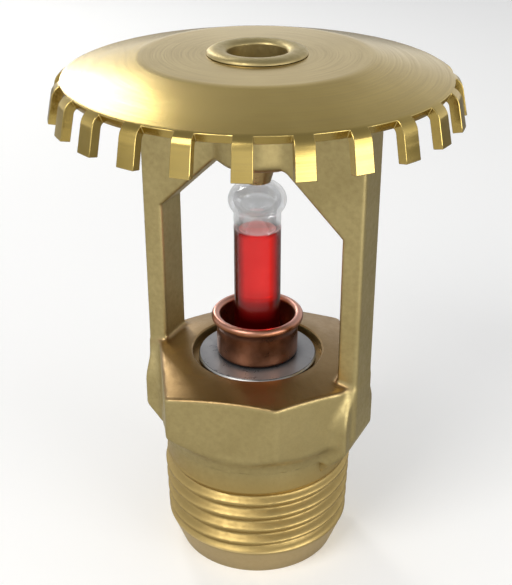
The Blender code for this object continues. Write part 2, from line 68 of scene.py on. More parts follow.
# Heights and radii that the pieces share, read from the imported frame
PLATE_TOP_Z = cad_box("deflector")[1].z
SPRING_LOW_Z = cad_box("belleville_spring")[0].z
SPRING_HIGH_Z = cad_box("belleville_spring")[1].z
SPRING_OUTER_R = cad_box("belleville_spring")[1].x
CAP_LOW_Z = cad_box("pip_cap")[0].z
CAP_RIM_Z = cad_box("pip_cap")[1].z
CAP_RIM_R = cad_box("pip_cap")[1].x
BULB_LOW_Z = cad_box("glass_bulb")[0].z
BULB_TOP_Z = cad_box("glass_bulb")[1].z
SCREW_LOW_Z = cad_box("load_screw")[0].z
SCREW_TOP_Z = cad_box("load_screw")[1].z

# Pipe thread
PIPE_PITCH = 25.4 / 14.0
PIPE_TAPER = 1.0 / 32.0
PIPE_CREST_R = 10.67
PIPE_DEPTH = 0.7
PIPE_GAUGE_Z = 11.0             # height at which the crests reach PIPE_CREST_R
PIPE_CREST_Z = 4.9              # height of the first crest at the angle PIPE_PHASE
PIPE_PHASE = math.radians(280.0)
PIPE_RUN_IN = (3.5, 4.4)        # the thread's groove deepens between these heights
PIPE_RUN_OUT = (11.0, 11.9)     # and its crest has faded out between these
LEAD_END_R = 9.1
LEAD_TOP_R = 10.35
LEAD_TOP_Z = 3.3
NECK_R = 10.35
NECK_LOW_Z = 12.6
NECK_TOP_Z = 15.0               # the turned inlet end reaches this far up into the boss

# Wrench boss: four faces as direction from +X in degrees and distance from the axis, and four half a turn on
BOSS_FACES = ((-77.0, 11.0), (-37.0, 11.3), (0.0, 11.7), (33.0, 10.75))
COLLAR_R = 10.68
COLLAR_LOW_Z = 14.4
COLLAR_HIGH_Z = 15.7            # the prism's underside leaves the collar here
COLLAR_HALF_HEIGHT = 0.9
PRISM_R = 13.5                  # beyond the prism's corners
PRISM_LOW_Z = 18.1
EAR_X = 12.4
EAR_DEPTH = 8.0
EAR_FOOT_Z = 15.5
EAR_HIGH_Z = 19.6               # above this height the ear narrows to the arm
EAR_TOP_Z = 22.8
EAR_ROOT_X = 9.2
EAR_ROOT_Z = 12.25
EAR_INNER_X = EAR_ROOT_X - 0.8  # inner end of the ear, inside the neck
BODY_TOP_Z = 24.1
RIM_R = 7.7                     # the top face falls from this circle to EDGE_Z at EDGE_R
EDGE_R = 12.0
EDGE_Z = 23.15

# Waterway and seat
INLET_R = 7.6
ORIFICE_R = 5.55
SEAT_R = 7.2
SEAT_Z = 23.0

# Arms and top boss
ARM_OUTER_X = 12.7
ARM_INNER_X = 10.4
ARM_DEPTH = 4.6
ARM_EDGE = 0.45
ARM_FOOT_Z = 16.8
ARM_FOOT_X = 10.3
ARM_FOOT_LOW_Z = 14.3
WINDOW_LOW_Z = BODY_TOP_Z - 4.0
WINDOW_SLOPE_Z = 40.0
WINDOW_TOP_Z = 46.4
WINDOW_TOP_X = 3.7
SHOULDER_Z = 50.2
SHOULDER_R = 4.4
BOSS_R = 4.3
BOSS_LOW_Z = 46.0
BOSS_CHAMFER = 0.6
PLATE_THICK = 1.0
SKIN_GAP = 0.05
STUB_R = 3.9
LIP_R = 5.0
LIP_HOLE_R = 3.0
LIP_HEIGHT = 0.5
LIP_SINK = 0.03                 # the lip's underside sinks into its gap by this much

# Deflector
PLATEAU_R = 11.5
PLATEAU_ROUND = 4.0             # radius of the bend between the flat middle and the slope
CONE_DROP = 1.8
DISC_R = 18.95
BEND_R = 1.6
TOOTH_COUNT = 24
TOOTH_WIDTH = 1.9
TOOTH_TIP_Z = 51.5
TOOTH_FLARE = math.radians(12.0)
TOOTH_PHASE = math.radians(-67.6)
TOOTH_EDGE = 0.13

# Load screw
SCREW_LEAD = 0.8
SCREW_CORE_R = 1.93
SCREW_CREST_R = 2.4
SCREW_RADIAL_GAP = 0.13
SCREW_AXIAL_GAP = 0.07
SCREW_TIP_R = 1.4
SCREW_TIP_LENGTH = 1.9
SCREW_THREAD_LOW_Z = 47.0
SCREW_THREAD_HIGH_Z = 52.6
SCREW_PHASE = math.radians(8.0)
BORE_PHASE_Z = 45.4
BORE_FLARE = 0.55               # widening of the bore's lower mouth
SLOT_WIDTH = 0.8
SLOT_DEPTH = 0.8
SLOT_REACH = 3.0                # past the screw's crest

# Bulb
BULB_R = 2.5
BULB_WALL = 0.55
BULGE_R = 3.08
BULGE_Z = 41.8
BULGE_HALF_HEIGHT = 2.2
BULB_NECK_Z = 39.2
FILL_HOLE_R = 0.3
LIQUID_TOP_Z = 38.5

# Cap assembly
CAP_WALL_R = 4.45
CAP_WALL = 0.4
CAP_NOSE_R = 3.2
SPRING_INNER_R = 3.5
SPRING_THICK = 0.45
FILM_THICK = 0.08
FILM_GAP = 0.03
FILM_INSET = 0.1
INSERT_R = 2.7
INSERT_HOLE_R = 0.8

# Fineness of the meshes
ROUND_SEGMENTS = 128
SMALL_SEGMENTS = 96
THREAD_SEGMENTS = 192
THREAD_ROW = 0.09
SCREW_SEGMENTS = 72
SCREW_ROW = 0.06
BORE_SEGMENTS = 56
BORE_ROW = 0.08
CASTING_STEP = 0.22
SHARP_DEG = 38.0                # edges that turn by more than this stay sharp
TOOTH_PARTS = 3
GAP_PARTS = 6
SQUARE = ((-1, -1), (1, -1), (1, 1), (-1, 1))


# ---- meshes

def shade(mesh, sharp_deg=SHARP_DEG):
    """Shade a mesh smooth, apart from its sharp edges."""
    mesh.shade_smooth()
    mesh.set_sharp_from_angle(angle=math.radians(sharp_deg))


def new_piece(name, points, faces, material, sharp_deg=SHARP_DEG):
    """A smooth-shaded object from points in millimetres."""
    mesh = bpy.data.meshes.new(name)
    mesh.from_pydata((np.asarray(points, float) * MM).tolist(), [], faces)
    mesh.validate()
    shade(mesh, sharp_deg)
    mesh.materials.append(material)
    piece = bpy.data.objects.new(name, mesh)
    bpy.context.scene.collection.objects.link(piece)
    return piece


def ring_faces(rows, count, closed=False):
    """Quads between consecutive rings of count points."""
    faces = []
    pairs = [(row, row + 1) for row in range(rows - 1)]
    if closed:
        pairs.append((rows - 1, 0))
    for low, high in pairs:
        for i in range(count):
            j = (i + 1) % count
            faces.append((low * count + i, low * count + j, high * count + j, high * count + i))
    return faces


def stand_for(piece, body, node):
    """Let a piece ride on a body in place of a CAD node."""
    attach(piece, body)
    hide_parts(node)


def circle(segments):
    """Angles evenly spaced around a full turn."""
    return np.linspace(0.0, 2.0 * math.pi, segments, endpoint=False)


def ring_points(rings, angles):
    """Points of round rings, each given as radius and height."""
    return [(r * math.cos(a), r * math.sin(a), z) for r, z in rings for a in angles]


def lathe(name, outline, material, segments=ROUND_SEGMENTS, sharp_deg=SHARP_DEG):
    """Solid of revolution; an outline that starts and ends on the axis is capped there by a point."""
    capped = outline[0][0] == 0.0
    rings = outline[1:-1] if capped else outline
    points = ring_points(rings, circle(segments))
    faces = ring_faces(len(rings), segments, closed=not capped)
    if capped:
        low = len(points)
        points += [(0.0, 0.0, outline[0][1]), (0.0, 0.0, outline[-1][1])]
        last = (len(rings) - 1) * segments
        for i in range(segments):
            j = (i + 1) % segments
            faces.append((low, j, i))
            faces.append((low + 1, last + i, last + j))
    return new_piece(name, points, faces, material, sharp_deg)


def arc(centre_r, centre_z, radius, start_deg, end_deg, steps, stretch=1.0):
    """Points on an arc in the (radius, height) plane; stretch scales its height."""
    angles = np.radians(np.linspace(start_deg, end_deg, steps + 1))
    return [(centre_r + radius * math.cos(a), centre_z + radius * stretch * math.sin(a)) for a in angles]


def fillet(outline, radius, steps=4):
    """Round the corners of an open outline to about this radius."""
    rounded = [outline[0]]
    for before, corner, after in zip(outline, outline[1:], outline[2:]):
        corner = Vector(corner)
        back = Vector(before) - corner
        ahead = Vector(after) - corner
        turn = math.pi - back.angle(ahead)
        reach = min(radius * math.tan(turn / 2.0), 0.45 * back.length, 0.45 * ahead.length)
        start = corner + back.normalized() * reach
        end = corner + ahead.normalized() * reach
        for k in range(steps + 1):
            t = k / steps
            point = start * (1 - t) ** 2 + corner * 2 * t * (1 - t) + end * t ** 2
            rounded.append(tuple(point))
    rounded.append(outline[-1])
    return rounded


def carve(target, tool, operation):
    """Apply a boolean of two closed meshes and drop the tool."""
    step = target.modifiers.new(tool.name, "BOOLEAN")
    step.operation = operation
    step.object = tool
    step.solver = "MANIFOLD"
    graph = bpy.context.evaluated_depsgraph_get()
    mesh = bpy.data.meshes.new_from_object(target.evaluated_get(graph))
    target.modifiers.clear()
    target.data = mesh
    bpy.data.objects.remove(tool)


# ---- the casting as a distance field

def smooth_max(a, b, width):
    """The larger of two fields, with the crease between them rounded over this width."""
    blend = np.clip(0.5 + 0.5 * (a - b) / width, 0.0, 1.0)
    return b + (a - b) * blend + width * blend * (1.0 - blend)


def smooth_min(a, b, width):
    """The smaller of two fields, with a fillet of this width between them."""
    return -smooth_max(-a, -b, width)


def beside(r, z, start, end):
    """Distance to the right of the line from start to end in the (radius, height) plane."""
    run = end[0] - start[0]
    rise = end[1] - start[1]
    return ((r - start[0]) * rise - (z - start[1]) * run) / math.hypot(run, rise)


def polygon_distance(x, z, outline):
    """Signed distance to a closed polygon in the XZ plane, negative inside."""
    nearest = 1e9
    inside = False
    for (ax, az), (bx, bz) in zip(outline, outline[1:] + outline[:1]):
        ex, ez = bx - ax, bz - az
        t = np.clip(((x - ax) * ex + (z - az) * ez) / (ex * ex + ez * ez), 0.0, 1.0)
        nearest = np.minimum(nearest, (x - ax - t * ex) ** 2 + (z - az - t * ez) ** 2)
        if az != bz:
            crosses = ((az > z) != (bz > z)) & (x < ax + ex * (z - az) / ez)
            inside = inside ^ crosses
    distance = np.sqrt(nearest)
    return np.where(inside, -distance, distance)


def wrench_boss(x, y, z):
    """Eight-sided boss with a sloping top face, on a round collar."""
    r = np.hypot(x, y)
    plan = r - PRISM_R
    for turn_deg, distance in BOSS_FACES:
        turn = math.radians(turn_deg)
        plan = smooth_max(plan, np.abs(x * math.cos(turn) + y * math.sin(turn)) - distance, 0.35)
    under = beside(r, z, (COLLAR_R, COLLAR_HIGH_Z), (PRISM_R, PRISM_LOW_Z))
    top = beside(r, z, (EDGE_R, EDGE_Z), (RIM_R, BODY_TOP_Z))
    prism = smooth_max(plan, smooth_max(under, COLLAR_LOW_Z + 0.5 - z, 0.1), 0.35)
    prism = smooth_max(prism, smooth_max(top, z - BODY_TOP_Z, 0.2), 0.3)
    collar_z = COLLAR_LOW_Z + COLLAR_HALF_HEIGHT
    collar = smooth_max(r - COLLAR_R, np.abs(z - collar_z) - COLLAR_HALF_HEIGHT, 0.25)
    return smooth_min(prism, collar, 0.8)


def ears(x, y, z):
    """The ear under each arm: it narrows to the arm above, and its foot slopes back to the neck."""
    foot = beside(np.abs(x), z, (EAR_ROOT_X, EAR_ROOT_Z), (EAR_X, EAR_FOOT_Z))
    block = smooth_max(np.abs(x) - EAR_X, np.abs(y) - EAR_DEPTH / 2.0, 0.4)
    taper = beside(np.abs(y), z, (EAR_DEPTH / 2.0, EAR_HIGH_Z), (ARM_DEPTH / 2.0 + 0.1, EAR_TOP_Z))
    block = smooth_max(smooth_max(block, foot, 0.35), taper, 0.6)
    block = smooth_max(block, z - EAR_TOP_Z, 0.2)
    inner = np.maximum(EAR_INNER_X - np.abs(x), EAR_ROOT_Z - z)
    return smooth_max(block, inner, 0.1)


def yoke_outlines():
    """The arms' outer outline and the window between them, as closed polygons in the XZ plane."""
    shoulder_x = ARM_OUTER_X - SHOULDER_R
    right = [(ARM_FOOT_X, ARM_FOOT_LOW_Z), (ARM_OUTER_X, ARM_FOOT_Z)]
    right += arc(shoulder_x, SHOULDER_Z, SHOULDER_R, 0.0, 75.0, 10)
    right.append((BOSS_R, PLATE_TOP_Z - PLATE_THICK - 0.5))
    outer = right + [(-x, z) for x, z in reversed(right)]
    side = [(ARM_INNER_X, WINDOW_LOW_Z), (ARM_INNER_X, WINDOW_SLOPE_Z), (WINDOW_TOP_X, WINDOW_TOP_Z)]
    window = side + [(-x, z) for x, z in reversed(side)]
    return outer, window


OUTER_YOKE, WINDOW = yoke_outlines()


def arms(x, y, z):
    """Both arms and the web above the window, with rounded edges."""
    flat = smooth_max(polygon_distance(x, z, OUTER_YOKE), -polygon_distance(x, z, WINDOW), 0.3)
    across = flat + ARM_EDGE
    through = np.abs(y) - ARM_DEPTH / 2.0 + ARM_EDGE
    outside = np.hypot(np.maximum(across, 0.0), np.maximum(through, 0.0))
    return outside + np.minimum(np.maximum(across, through), 0.0) - ARM_EDGE


def top_boss(x, y, z):
    """Round boss above the window, up to the deflector's underside."""
    r = np.hypot(x, y)
    boss = smooth_max(r - BOSS_R, z - (PLATE_TOP_Z - PLATE_THICK - SKIN_GAP), 0.1)
    chamfer = beside(r, z, (BOSS_R - BOSS_CHAMFER, BOSS_LOW_Z), (BOSS_R, BOSS_LOW_Z + BOSS_CHAMFER))
    return smooth_max(smooth_max(boss, BOSS_LOW_Z - z, 0.2), chamfer, 0.2)


def casting(x, y, z):
    """Signed distance to the cast body above the pipe thread, before it is bored."""
    body = smooth_min(wrench_boss(x, y, z), ears(x, y, z), 0.9)
    body = smooth_min(body, arms(x, y, z), 0.7)
    return smooth_min(body, top_boss(x, y, z), 1.0)


def snap(distance, points, step):
    """Move points onto the zero level along the field's gradient."""
    reach = 0.02
    for _ in range(3):
        value = distance(*points.T)
        slope = np.empty_like(points)
        for axis in range(3):
            shift = np.zeros(3)
            shift[axis] = reach
            slope[:, axis] = (distance(*(points + shift).T) - distance(*(points - shift).T)) / (2.0 * reach)
        size = np.maximum((slope ** 2).sum(1), 0.25)
        move = slope * (value / size)[:, None]
        length = np.linalg.norm(move, axis=1)
        move *= np.minimum(1.0, 0.5 * step / np.maximum(length, 1e-9))[:, None]
        points = points - move
    return points


def surface_net(distance, low, high, step):
    """Quads over the zero level of a distance field: one point in each cell that the surface crosses."""
    axes = [np.arange(a, b + step, step) for a, b in zip(low, high)]
    field = distance(*np.meshgrid(*axes, indexing="ij", sparse=True))
    inside = field < 0.0
    cells = tuple(n - 1 for n in field.shape)
    corners = [(i, j, k) for i in (0, 1) for j in (0, 1) for k in (0, 1)]
    views = [tuple(slice(c, c + n) for c, n in zip(corner, cells)) for corner in corners]
    filled = sum(inside[view].astype(np.int8) for view in views)
    crossed = (filled > 0) & (filled < 8)
    number = np.full(cells, -1)
    number[crossed] = np.arange(crossed.sum())
    values = [field[view][crossed] for view in views]
    place = np.zeros((crossed.sum(), 3))
    hits = np.zeros(crossed.sum())
    for a, first in enumerate(corners):
        for b, second in enumerate(corners):
            if b <= a or sum(abs(p - q) for p, q in zip(first, second)) != 1:
                continue
            cut = (values[a] < 0.0) != (values[b] < 0.0)
            share = np.where(cut, values[a] / np.where(cut, values[a] - values[b], 1.0), 0.0)
            spot = np.array(first) + share[:, None] * (np.array(second) - np.array(first))
            place += spot * cut[:, None]
            hits += cut
    origin = np.array([axis[0] for axis in axes])
    points = origin + (np.argwhere(crossed) + place / hits[:, None]) * step
    return snap(distance, points, step), net_faces(inside, number)


def net_faces(inside, number):
    """One quad around each grid edge whose ends lie on different sides of the surface."""
    faces = []
    for axis in range(3):
        side, up = (axis + 1) % 3, (axis + 2) % 3
        inner = [slice(1, -1)] * 3
        first, second = list(inner), list(inner)
        first[axis], second[axis] = slice(None, -1), slice(1, None)
        start, end = inside[tuple(first)], inside[tuple(second)]
        around = []
        for shift_side, shift_up in ((0, 0), (1, 0), (1, 1), (0, 1)):
            view = [slice(None)] * 3
            view[side] = slice(shift_side, shift_side + start.shape[side])
            view[up] = slice(shift_up, shift_up + start.shape[up])
            around.append(number[tuple(view)])
        quads = np.stack(around, -1)
        faces.append(quads[start & ~end])
        faces.append(quads[~start & end][:, ::-1])
    return np.concatenate(faces).tolist()


# ---- threads

def ramp(value, low, high):
    """0 below low, 1 above high and a straight line between."""
    return np.clip((value - low) / (high - low), 0.0, 1.0)


def thread_height(angle, z, crest_z, phase, pitch, root_half, crest_half):
    """Share of the thread's depth at a place: 1 on the crest, 0 in the root."""
    turn = (angle - phase) / (2.0 * math.pi)
    along = (z - crest_z - pitch * turn) / pitch
    away = np.abs(along - np.round(along)) * pitch
    flank = 1.0 - ramp(away, crest_half, root_half)
    eased = flank * flank * (3.0 - 2.0 * flank)
    return eased * 0.35 + flank * 0.65


def pipe_radius(angle, z):
    """Outside of the inlet end: chamfered lead, tapered thread and plain neck."""
    lead = LEAD_END_R + (LEAD_TOP_R - LEAD_END_R) * z / LEAD_TOP_Z
    crest = PIPE_CREST_R + (z - PIPE_GAUGE_Z) * PIPE_TAPER
    envelope = np.where(z < LEAD_TOP_Z, lead, np.minimum(crest, LEAD_TOP_R + (z - LEAD_TOP_Z) * 0.5))
    share = thread_height(angle, z, PIPE_CREST_Z, PIPE_PHASE, PIPE_PITCH,
                          PIPE_PITCH * 0.42, PIPE_PITCH * 0.07)
    share = 1.0 - (1.0 - share) * ramp(z, *PIPE_RUN_IN)
    threaded = envelope - PIPE_DEPTH * (1.0 - share)
    out = ramp(z, *PIPE_RUN_OUT)
    return threaded * (1.0 - out) + NECK_R * out


def threaded_rod(name, radius_at, heights, segments, material):
    """A closed rod whose radius is a function of angle and height."""
    angles = circle(segments)
    rings = []
    for z in heights:
        level = np.full(segments, z)
        radius = radius_at(angles, level)
        rings.append(np.stack([radius * np.cos(angles), radius * np.sin(angles), level], 1))
    rows = len(heights)
    faces = ring_faces(rows, segments)
    faces.append(tuple(reversed(range(segments))))
    faces.append(tuple(range((rows - 1) * segments, rows * segments)))
    return new_piece(name, np.concatenate(rings), faces, material)


def screw_share(angle, z, crest_z, extra):
    """Share of the load screw's thread depth, for the screw itself or, with extra width, for its bore."""
    return thread_height(angle, z, crest_z, SCREW_PHASE, SCREW_LEAD, SCREW_LEAD * 0.30 + extra,
                         SCREW_LEAD * 0.06 + extra)


# ---- pieces of the frame body

def waterway_tool(material):
    """The bore through the inlet, the orifice and the seat with its broken edges."""
    outline = [(0.0, -1.0), (INLET_R + 0.7, -1.0), (INLET_R + 0.4, 0.0), (INLET_R, 0.4), (INLET_R, 4.0),
               (ORIFICE_R, 9.0), (ORIFICE_R, SEAT_Z - 0.2), (ORIFICE_R + 0.2, SEAT_Z), (SEAT_R, SEAT_Z),
               (SEAT_R, BODY_TOP_Z - 0.15), (SEAT_R + 0.2, BODY_TOP_Z + 0.05),
               (SEAT_R + 0.2, BODY_TOP_Z + 1.0), (0.0, BODY_TOP_Z + 1.0)]
    return lathe("waterway", outline, material)


def bore_radius(angle, z):
    """The tapped hole of the top boss, wider at both mouths."""
    core = SCREW_CORE_R + SCREW_RADIAL_GAP
    depth = SCREW_CREST_R - SCREW_CORE_R
    share = screw_share(angle, z, BORE_PHASE_Z, SCREW_AXIAL_GAP)
    tapped = core + depth * share
    low_mouth = core + BORE_FLARE * (1.0 - ramp(z, BOSS_LOW_Z, BOSS_LOW_Z + BOSS_CHAMFER))
    high_mouth = core + (LIP_HOLE_R - core) * ramp(z, SCREW_TOP_Z - 0.1, SCREW_TOP_Z + 0.9)
    return np.maximum(tapped * (z < SCREW_TOP_Z + 0.6), np.maximum(low_mouth, high_mouth))


def lip(material):
    """The rolled ring that holds the deflector on its stub."""
    under = PLATE_TOP_Z + SKIN_GAP
    root_z = PLATE_TOP_Z - 1.5
    mid = (LIP_R + LIP_HOLE_R) / 2.0
    half = (LIP_R - LIP_HOLE_R) / 2.0
    outline = [(LIP_HOLE_R + 0.02, root_z), (STUB_R, root_z), (STUB_R, under - LIP_SINK),
               (LIP_R - 0.1, under - LIP_SINK)]
    outline += arc(mid, under, half, 0.0, 180.0, 16, stretch=LIP_HEIGHT / half)
    return lathe("lip", outline, material)


def make_frame(material):
    """The brass casting: thread, wrench boss, arms and top boss as one closed mesh."""
    low = np.array([-ARM_OUTER_X - 0.5, -PRISM_R, EAR_ROOT_Z - 0.5])
    high = np.array([ARM_OUTER_X + 0.5, PRISM_R, PLATE_TOP_Z + 0.5])
    points, faces = surface_net(casting, low, high, CASTING_STEP)
    piece = new_piece("frame_casting", points, faces, material)
    heights = [0.0] + list(np.arange(0.25, NECK_LOW_Z, THREAD_ROW)) + [NECK_TOP_Z]
    rod = threaded_rod("pipe_end", pipe_radius, heights, THREAD_SEGMENTS, material)
    carve(piece, rod, "UNION")
    low_z = PLATE_TOP_Z - PLATE_THICK - SKIN_GAP - 1.0
    high_z = PLATE_TOP_Z + 0.1
    stub = [(0.0, low_z), (STUB_R, low_z), (STUB_R, high_z), (0.0, high_z)]
    carve(piece, lathe("stub", stub, material), "UNION")
    carve(piece, lip(material), "UNION")
    carve(piece, waterway_tool(material), "DIFFERENCE")
    bore_heights = np.arange(BOSS_LOW_Z - 0.6, PLATE_TOP_Z + 1.5, BORE_ROW)
    bore = threaded_rod("screw_bore", bore_radius, bore_heights, BORE_SEGMENTS, material)
    carve(piece, bore, "DIFFERENCE")
    shade(piece.data)
    stand_for(piece, "frame", "frame")


# ---- deflector

def deflector_profile():
    """Upper surface of the deflector as (radius, height): the disc up to the gaps' floor, then the tooth."""
    edge_z = PLATE_TOP_Z - CONE_DROP
    disc = [(STUB_R + SKIN_GAP, PLATE_TOP_Z), (PLATEAU_R, PLATE_TOP_Z), (DISC_R, edge_z)]
    disc = fillet(disc, PLATEAU_ROUND, 6)
    slope = math.atan2(CONE_DROP, DISC_R - PLATEAU_R)
    start = 90.0 - math.degrees(slope)
    centre_r = DISC_R - BEND_R * math.cos(math.radians(start))
    centre_z = edge_z - BEND_R * math.sin(math.radians(start))
    bend = arc(centre_r, centre_z, BEND_R, start, math.degrees(TOOTH_FLARE), 10)[1:]
    last_r, last_z = bend[-1]
    heights = [last_z + (TOOTH_TIP_Z - last_z) * k / 5.0 for k in range(1, 6)]
    tooth = [(last_r + (last_z - z) * math.tan(TOOTH_FLARE), z) for z in heights]
    return disc + bend[:2], bend[2:] + tooth


def lower_side(profile):
    """The profile moved inwards by the plate's thickness along its own normal."""
    line = np.array(profile)
    run = np.gradient(line, axis=0)
    run /= np.linalg.norm(run, axis=1)[:, None]
    return line + PLATE_THICK * np.stack([run[:, 1], -run[:, 0]], 1)


def deflector_angles():
    """Angles of the radial cuts, and for each sector whether it belongs to a tooth."""
    pitch = 2.0 * math.pi / TOOTH_COUNT
    half = math.asin(TOOTH_WIDTH / 2.0 / (DISC_R + BEND_R))
    gap = pitch - 2.0 * half
    angles = []
    for tooth in range(TOOTH_COUNT):
        centre = tooth * pitch + TOOTH_PHASE
        angles += [centre - half + 2.0 * half * k / TOOTH_PARTS for k in range(TOOTH_PARTS)]
        angles += [centre + half + gap * k / GAP_PARTS for k in range(GAP_PARTS)]
    return angles, ([True] * TOOTH_PARTS + [False] * GAP_PARTS) * TOOTH_COUNT


def make_deflector(material):
    """Pressed and turned disc with its bent teeth."""
    disc, tooth = deflector_profile()
    top = disc + tooth
    angles, is_tooth = deflector_angles()
    count, rings = len(angles), len(top)
    points = ring_points([*top, *lower_side(top)], angles)

    def at(side, ring, sector):
        return (side * rings + ring) * count + sector % count

    def solid(ring, sector):
        last = rings - 1 if is_tooth[sector % count] else len(disc) - 1
        return 0 <= ring < last

    faces = []
    for sector in range(count):
        for ring in range(rings - 1):
            if not solid(ring, sector):
                continue
            corners = [(ring, sector), (ring + 1, sector), (ring + 1, sector + 1), (ring, sector + 1)]
            faces.append([at(0, *corner) for corner in corners])
            faces.append([at(1, *corner) for corner in corners[:1] + corners[:0:-1]])
            beyond = [(ring, sector - 1), (ring + 1, sector), (ring, sector + 1), (ring - 1, sector)]
            for start, end, cell in zip(corners, corners[1:] + corners[:1], beyond):
                if not solid(*cell):
                    faces.append((at(0, *end), at(0, *start), at(1, *start), at(1, *end)))
    piece = new_piece("deflector_plate", points, faces, material)
    tidy_mesh(piece)
    bevel = piece.modifiers.new("cut_edges", "BEVEL")
    bevel.width = TOOTH_EDGE * MM
    bevel.segments = 2
    bevel.limit_method = "ANGLE"
    bevel.angle_limit = math.radians(50.0)
    stand_for(piece, "frame", "deflector")


def tidy_mesh(piece):
    """Drop unused points and turn every face outwards."""
    shape = bmesh.new()
    shape.from_mesh(piece.data)
    loose = [v for v in shape.verts if not v.link_faces]
    bmesh.ops.delete(shape, geom=loose, context="VERTS")
    bmesh.ops.recalc_face_normals(shape, faces=shape.faces)
    shape.to_mesh(piece.data)
    shape.free()


# ---- load screw

def screw_radius(angle, z):
    """Conical tip, threaded shank and the plain top of the load screw."""
    cone_share = ramp(z, SCREW_LOW_Z, SCREW_LOW_Z + SCREW_TIP_LENGTH)
    cone = SCREW_TIP_R + (SCREW_CORE_R - SCREW_TIP_R) * cone_share
    top = SCREW_CORE_R - 0.3 * ramp(z, SCREW_TOP_Z - 0.3, SCREW_TOP_Z)
    share = screw_share(angle, z, SCREW_THREAD_LOW_Z, 0.0)
    share = share * ramp(z, SCREW_THREAD_LOW_Z - 0.6, SCREW_THREAD_LOW_Z + 0.4)
    share = share * (1.0 - ramp(z, SCREW_THREAD_HIGH_Z - 0.4, SCREW_THREAD_HIGH_Z + 0.6))
    return np.minimum(cone, top) + (SCREW_CREST_R - SCREW_CORE_R) * share


def make_load_screw(material):
    """Slotted compression screw with a dimple for the bulb's crown."""
    heights = np.arange(SCREW_LOW_Z, SCREW_TOP_Z + SCREW_ROW / 2.0, SCREW_ROW)
    heights[-1] = SCREW_TOP_Z
    piece = threaded_rod("load_screw_turned", screw_radius, heights, SCREW_SEGMENTS, material)
    low = SCREW_LOW_Z
    hollow = [(0.0, low - 1.0), (1.3, low - 1.0), (1.16, low), (0.9, low + 0.35), (0.55, low + 0.6),
              (0.2, low + 0.69), (0.0, low + 0.7)]
    carve(piece, lathe("dimple", hollow, material, 48), "DIFFERENCE")
    levels = (SCREW_TOP_Z - SLOT_DEPTH, SCREW_TOP_Z + 1.0)
    corners = [(x * SLOT_REACH, y * SLOT_WIDTH / 2.0, z) for z in levels for x, y in SQUARE]
    sides = [(3, 2, 1, 0), (4, 5, 6, 7), (0, 1, 5, 4), (1, 2, 6, 5), (2, 3, 7, 6), (3, 0, 4, 7)]
    carve(piece, new_piece("slot", corners, sides, material), "DIFFERENCE")
    shade(piece.data)
    stand_for(piece, "load_screw", "load_screw")


# ---- bulb

def bulb_side(inset):
    """Stem, neck and bulge of the bulb from the foot upwards, moved inwards by inset."""
    stem_r = BULB_R - inset
    foot = arc(0.0, BULB_LOW_Z + BULB_R, stem_r, -68.0, 0.0, 12)
    stem = [(stem_r, z) for z in np.linspace(BULB_LOW_Z + BULB_R + 1.0, BULB_NECK_Z - 0.9, 8)]
    neck = [(stem_r + 0.02, BULB_NECK_Z - 0.55), (stem_r, BULB_NECK_Z - 0.2),
            (stem_r - 0.03, BULB_NECK_Z + 0.05), (stem_r + 0.01, BULB_NECK_Z + 0.28)]
    bulge_r = BULGE_R - inset
    bulge = arc(0.0, BULGE_Z, bulge_r, -36.0, 80.0, 21, stretch=(BULGE_HALF_HEIGHT - inset) / bulge_r)
    return foot + stem + neck + bulge


def make_bulb(material, wetted):
    """Glass shell with its sealed nib and the fine filling hole in its foot."""
    crown_z = BULGE_Z + BULGE_HALF_HEIGHT
    nib = [(0.5, crown_z), (0.42, crown_z + 0.07), (0.33, crown_z + 0.18), (0.2, crown_z + 0.26),
           (0.08, BULB_TOP_Z)]
    foot = [(FILL_HOLE_R, BULB_LOW_Z + BULB_WALL + 0.05), (FILL_HOLE_R, BULB_LOW_Z + 0.04)]
    inside = [(0.08, crown_z - BULB_WALL)] + list(reversed(bulb_side(BULB_WALL))) + foot
    rings = inside + bulb_side(0.0) + nib
    points = ring_points(rings, circle(ROUND_SEGMENTS))
    faces = ring_faces(len(rings), ROUND_SEGMENTS)
    faces.append(tuple(range(ROUND_SEGMENTS)))
    faces.append(tuple(range(len(points) - ROUND_SEGMENTS, len(points))))
    piece = new_piece("bulb_glass", points, faces, material, 60.0)
    tidy_mesh(piece)
    piece.data.materials.append(wetted)
    for face in piece.data.polygons:
        place = face.center / MM
        on_bore = math.hypot(place.x, place.y) < BULB_R - BULB_WALL + 0.05
        if on_bore and BULB_LOW_Z + BULB_WALL + 0.1 < place.z < LIQUID_TOP_Z:
            face.material_index = 1
    stand_for(piece, "bulb", "glass_bulb")


def make_liquid(material, surface):
    """The red liquid, which wets the glass and climbs it a little at its surface."""
    r = BULB_R - BULB_WALL + 0.01
    low = BULB_LOW_Z + BULB_WALL - 0.01
    outline = [(0.0, low)] + arc(0.0, low + r, r, -84.0, 0.0, 12)
    outline += [(r, z) for z in np.linspace(low + r + 1.0, LIQUID_TOP_Z - 1.0, 6)]
    meniscus = [(r, 0.0), (r - 0.05, 0.04), (r * 0.9, 0.16), (r * 0.75, 0.3), (r * 0.5, 0.4),
                (r * 0.25, 0.44), (0.0, 0.45)]
    outline += [(across, LIQUID_TOP_Z - drop) for across, drop in meniscus]
    piece = lathe("bulb_red_liquid", outline, material, SMALL_SEGMENTS, 50.0)
    piece.data.materials.append(surface)
    for face in piece.data.polygons:
        if face.center.z / MM > LIQUID_TOP_Z - 0.5:
            face.material_index = 1
    stand_for(piece, "bulb", "bulb_liquid")


# ---- cap assembly

